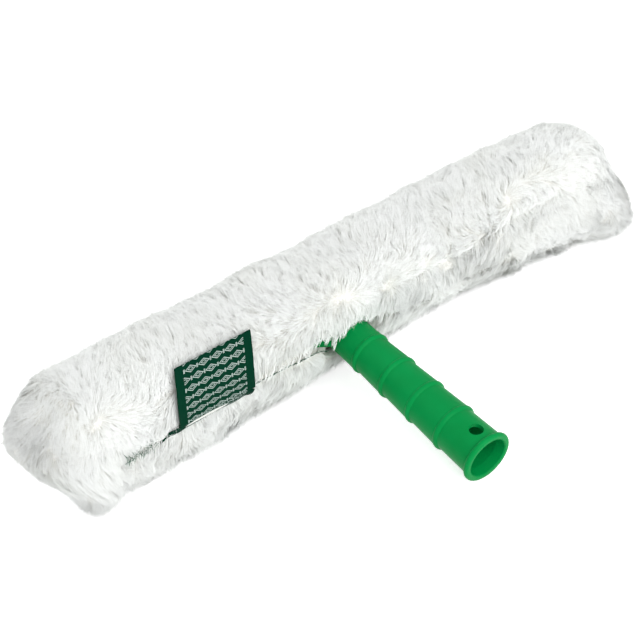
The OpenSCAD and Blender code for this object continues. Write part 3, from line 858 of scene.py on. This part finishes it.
# One step a line: what it gives, the operation, and the numbers or earlier results that it takes
PATTERN_STEPS = [
    ("rows", "DIVIDE", "up", ROW_PITCH),
    ("row", "FLOOR", "rows"),
    ("odd", "FLOORED_MODULO", "row", 2.0),
    ("pitches", "DIVIDE", "along", LOZENGE_PITCH),
    ("pitches", "MULTIPLY_ADD", "odd", 0.5, "pitches"),
    ("aside", "FRACT", "pitches"),
    ("aside", "SUBTRACT", "aside", 0.5),
    ("aside", "ABSOLUTE", "aside"),
    ("above", "FRACT", "rows"),
    ("above", "SUBTRACT", "above", 0.5),
    ("above", "ABSOLUTE", "above"),
    ("lozenge", "MULTIPLY", "above", STEEP_UP),
    ("lozenge", "MULTIPLY_ADD", "aside", STEEP_ALONG, "lozenge"),
    ("outer", "COMPARE", "lozenge", OUTER_LINE, OUTER_HALF),
    ("inner", "COMPARE", "lozenge", INNER_LINE, INNER_HALF),
    ("bar", "COMPARE", "aside", BAR_AT, BAR_HALF),
    ("short", "LESS_THAN", "above", BAR_REACH),
    ("bar", "MULTIPLY", "bar", "short"),
    ("drawn", "MAXIMUM", "outer", "inner"),
    ("drawn", "MAXIMUM", "drawn", "bar"),
    ("inside", "COMPARE", "along", PATTERN_MIDDLE, PATTERN_HALF),
    ("drawn", "MULTIPLY", "drawn", "inside"),
    ("fold", "COMPARE", "up", FOLD_AT, FOLD_HALF),
    ("fold_highlight", "MULTIPLY", "fold", FOLD_HIGHLIGHT),
    ("weave", "MULTIPLY", "weft", "warp"),
    ("height", "MULTIPLY_ADD", "weave", WEAVE_HEIGHT, "drawn"),
]
found = {
    "along": node(tree, "SeparateXYZ", {0: thread}, output="X"),
    "up": node(tree, "SeparateXYZ", {0: thread}, output="Y"),
}
for yarns, pitch, unrest, across in (("weft", 0.571, 0.4, "Y"), ("warp", 0.628, 0.2, "X")):
    ribs = {"Vector": thread, "Scale": ribbed(pitch), "Distortion": unrest}
    found[yarns] = node(tree, "TexWave", ribs, output=1, bands_direction=across)
for result, operation, *taken in PATTERN_STEPS:
    sockets = {k: found.get(value, value) for k, value in enumerate(taken)}
    found[result] = node(tree, "Math", sockets, operation=operation)
# Painted shade: the ground and the pale yarn are darker where the weave dips
ground = node(tree, "ValToRGB", {0: found["weave"]}, stops=[(0.0, "00281A"), (1.0, "003F2A")])
# A painted highlight along the fold at the top
ground = node(tree, "MixRGB", {"Fac": found["fold_highlight"], "Color1": ground, "Color2": linear("1C7A52")})
yarn = node(tree, "ValToRGB", {0: found["weave"]}, stops=[(0.0, "A6B8B1"), (1.0, "DCE4E1")])
cloth = node(tree, "MixRGB", {"Fac": found["drawn"], "Color1": ground, "Color2": yarn})
bump = node(tree, "Bump", {"Strength": 0.4, "Distance": 0.2 * MM, "Height": found["height"]})
woven = node(tree, "BsdfPrincipled", {"Base Color": cloth, "Roughness": 0.75, "Normal": bump,
                                      "Specular IOR Level": 0.04})
node(tree, "OutputMaterial", {"Surface": woven})


# Where the band runs over the sleeve's back, proud of it: points and normals in (y, z) by distance
# along it, first straight up and then round the pile's upper edge
def over_back(distance, proud):
    straight = PILE["half"] - PILE["edge"]
    bend_y, r = PILE["back"] + PILE["edge"], PILE["edge"] + proud
    up = distance < straight
    angle = np.maximum(distance - straight, 0) / r
    y = np.where(up, PILE["back"] - proud, bend_y - r * np.cos(angle))
    z = np.where(up, distance, straight + r * np.sin(angle))
    return y, z, np.where(up, -1.0, -np.cos(angle)), np.where(up, 0.0, np.sin(angle))


# How far the band leans along the bar as it rises: (distance along it, shift)
SLANT = np.array([
    (0, -2.6), (16, -2.6), (20, -2.4), (25, -1.6), (30, -0.2), (35, 1.3), (41, 3.9), (45, 5.8),
])


def tab_slant(distance):
    return np.interp(distance, SLANT[:, 0], SLANT[:, 1])


# Points of the band, a little wavy, lifting at its free end and tucked into the slit at its foot
def band_points(x, distances, proud):
    d, xx = np.meshgrid(distances, x, indexing="xy")
    y, z, ny, nz = over_back(d, proud)
    across = (xx - TAB_LEFT) / (TAB_RIGHT - TAB_LEFT)
    lift = 0.3 * np.sin(across * 7.0 + d * 0.08) + 0.3 * smooth(0.5, 0, across) * smooth(10, 30, d)
    lift = np.maximum(lift, -0.25) + 0.4 * smooth(24, 36, d)
    tucked = 3.6 * smooth(7.0, 3.5, d)
    return np.stack([xx + tab_slant(d), y + ny * lift + tucked, z + nz * lift], -1)


# The woven tab: its front and its back, each proud of the pile, joined by a round fold at the top
TAB_LENGTH, TAB_FRONT, TAB_BACK, FOLD_LENGTHS = 41.0, 2.2, 1.3, (41.6, 41.8, 41.6)
x = np.linspace(TAB_LEFT, TAB_RIGHT, 60)
rise = np.linspace(0.0, TAB_LENGTH, 44)
front = band_points(x, rise, TAB_FRONT)
back = band_points(x, rise[::-1], TAB_BACK)
crown = band_points(x, FOLD_LENGTHS, (TAB_FRONT + TAB_BACK) / 2)
crown[:, 0] += (front[:, -1] - crown[:, 0]) * 0.35
crown[:, 2] += (back[:, 0] - crown[:, 2]) * 0.35
profile = np.concatenate([front, crown, back], 1)[:, ::-1]
tab = swept("woven_tab", profile, "closure_tab", band_look)
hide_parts("closure_tab")

# The band's sewn foot inside the slit, whose edge shows as a thin line left of the tab: its section
# in (y, z), and how far its left and its right end are sunk
FOOT_SECTION = np.array([
    (-12.0, -5.0), (-16.0, -1.0), (-18.3, 3.4), (-18.9, 5.0),
    (-18.9, 5.6), (-18.2, 5.7), (-16.0, 0.4), (-12.0, -4.0),
])
FOOT_SUNK_LEFT, FOOT_SUNK_RIGHT = 3.5, 2.5
x = np.linspace(TAB_LEFT - 14, TAB_RIGHT - 2, 50)
sunk = FOOT_SUNK_LEFT * smooth(-127, -133, x) + FOOT_SUNK_RIGHT * smooth(-77, -71, x)
foot = np.zeros((len(x), len(FOOT_SECTION), 3))
foot[:, :, 0] = x[:, None]
foot[:, :, 1] = FOOT_SECTION[:, 0] + 0.4 * np.sin(x / 6.0)[:, None]
foot[:, :, 2] = FOOT_SECTION[:, 1] + (0.25 * np.sin(x / 3.1) - sunk)[:, None]
foot_band = swept("tab_foot", foot[:, ::-1], "sleeve", band_look)
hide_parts("tab_root")

# Touch fastening: its sides, and where it starts and ends along the band
PAD_LEFT, PAD_RIGHT, PAD_FROM, PAD_TO = TAB_LEFT + 5.0, TAB_RIGHT - 6.0, 9.0, 33.0
# The loops or hooks on it: their number, half width and stray, and how far they stay inside its edges
BRISTLES, BRISTLE_HALF, BRISTLE_STRAY, BRISTLE_INSET = 9000, 0.12, 0.25, 0.6


# A square of it between two levels over the pile, with its loops or hooks rising from one face
def fastener(name, node_name, body, low, high, rising, seed):
    dice = np.random.default_rng(seed)
    x = np.linspace(PAD_LEFT, PAD_RIGHT, 40)
    rise = np.linspace(PAD_FROM, PAD_TO, 26)
    pad = np.concatenate([band_points(x, rise, high), band_points(x, rise[::-1], low)], 1)
    rows, columns = pad.shape[:2]
    at_x = dice.uniform(PAD_LEFT + BRISTLE_INSET, PAD_RIGHT - BRISTLE_INSET, BRISTLES)
    at_d = dice.uniform(PAD_FROM + BRISTLE_INSET, PAD_TO - BRISTLE_INSET, BRISTLES)
    y, z, ny, nz = over_back(at_d, high if rising > 0 else low)
    root = np.stack([at_x + tab_slant(at_d), y, z], -1)
    tip = root + np.stack([dice.normal(0, BRISTLE_STRAY, BRISTLES), ny * rising, nz * rising], -1)
    wide = unit(dice.normal(0, 1, (BRISTLES, 3))) * BRISTLE_HALF
    bristles = np.stack([root - wide, root + wide, tip], 1).reshape(-1, 3)
    places = laid(np.concatenate([pad.reshape(-1, 3), bristles]))
    faces = [grid_faces(rows, columns, wrap=True)] + end_faces(rows, columns)
    faces.append(rows * columns + np.arange(len(bristles)).reshape(-1, 3))
    piece = mesh_piece(name, places, faces, body, fastener_look)
    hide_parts(node_name)
    return piece


loop_pad = fastener("loop_pad", "loop_strip", "sleeve", low=-0.9, high=0.1, rising=0.5, seed=31)
hook_pad = fastener("hook_pad", "hook_strip", "closure_tab", low=0.7, high=1.25, rising=-0.45, seed=32)

# Floor
bpy.ops.mesh.primitive_plane_add(size=8, location=(0, 0, 0))
floor = bpy.context.object
floor.name = "floor"
floor.data.materials.append(paper)

# World: an even white room that lights the object a little less than it looks
ROOM_LIGHT = 0.86
world = bpy.data.worlds.new("studio")
bpy.context.scene.world = world
world.use_nodes = True
tree = world.node_tree
tree.nodes.clear()
level = node(tree, "MapRange", {"Value": seen_directly(tree), "To Min": ROOM_LIGHT, "To Max": 1.0})
sky = node(tree, "Background", {"Color": linear("FFFFFF"), "Strength": level})
node(tree, "OutputWorld", {"Surface": sky})


# A round soft lamp that faces the middle of the scrubber's footprint: metres and watts
def lamp(name, place, size, power):
    data = bpy.data.lights.new(name, "AREA")
    data.shape, data.size, data.energy = "DISK", size, power
    made = bpy.data.objects.new(name, data)
    bpy.context.scene.collection.objects.link(made)
    back = unit(np.array(place))
    side = unit(np.cross([0, 0, 1.0], back))
    turned = Matrix(np.column_stack([side, np.cross(back, side), back]).tolist()).to_4x4()
    made.matrix_world = Matrix.Translation(place) @ turned


lamp("key lamp", place=(-0.05, -1.3, 0.7), size=1.5, power=15.8)
lamp("back lamp", place=(-0.25, 1.2, 0.9), size=1.5, power=5.0)

# Camera, placed in the T-bar's frame from the photograph's handle and sleeve: degrees, millimetres,
# and the focal length in pixels of a picture that is PHOTO_SIDE wide
PHOTO_SIDE, SENSOR = 640.0, 36.0
AZIMUTH, ELEVATION, ROLL, DISTANCE, FOCAL = -37.6305, 43.7477, -0.128, 843.049, 1417.422
AIM = np.array([-4.707, 7.0435, -1.4675])
az, el, roll = (math.radians(a) for a in (AZIMUTH, ELEVATION, ROLL))
back = np.array([math.sin(az) * math.cos(el), -math.cos(az) * math.cos(el), math.sin(el)])
right = np.array([math.cos(az), math.sin(az), 0.0])
up = np.cross(back, right)
right, up = math.cos(roll) * right + math.sin(roll) * up, -math.sin(roll) * right + math.cos(roll) * up
data = bpy.data.cameras.new("camera")
data.sensor_width, data.lens = SENSOR, FOCAL / PHOTO_SIDE * SENSOR
data.clip_start, data.clip_end = 0.01, 50
camera = bpy.data.objects.new("camera", data)
bpy.context.scene.collection.objects.link(camera)
axes = Matrix((TURN @ np.column_stack([right, up, back])).tolist()).to_4x4()
camera.matrix_world = Matrix.Translation(laid(AIM + back * DISTANCE)) @ axes
bpy.context.scene.camera = camera
bpy.context.scene.view_settings.view_transform = "Standard"

bpy.context.view_layer.update()
